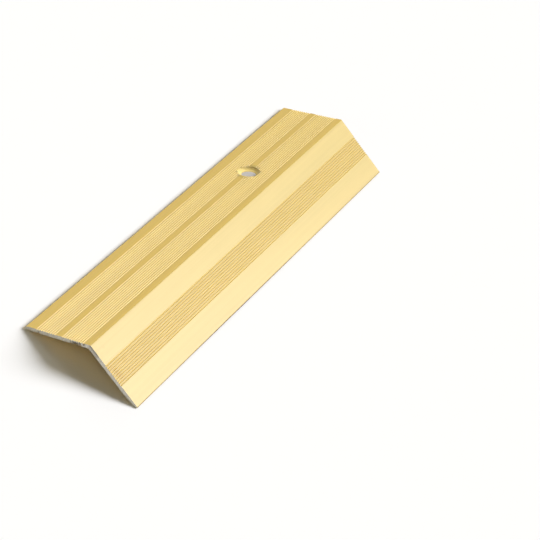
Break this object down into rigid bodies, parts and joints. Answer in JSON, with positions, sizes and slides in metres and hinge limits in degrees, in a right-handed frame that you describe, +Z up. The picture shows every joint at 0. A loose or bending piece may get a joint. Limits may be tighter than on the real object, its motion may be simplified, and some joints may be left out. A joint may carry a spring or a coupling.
{
  "type": "floor transition strip",
  "caption": "Angled gold-coloured metal floor transition strip: a flat flange and a sloping ramp with bands of fine anti-slip ridges and a countersunk screw hole.",
  "frame": {"origin": "middle of the bounding box's bottom, on the level floor that the strip rests on", "axes": "+Y along the strip, away from the sawn end that is nearest in the picture; +X across it, from the flange towards the ramp; +Z up. The strip stands as it lies unheld: a low tent on the outer edge of the flange and the foot of the ramp"},
  "size_m": [0.0422, 0.19, 0.01],
  "materials": {
    "gold_anodised": "satin, anodised in pale gold, with bare sawn ends"
  },
  "bodies": {
    "root": {"transition_strip": "gold_anodised"}
  },
  "joints": []
}
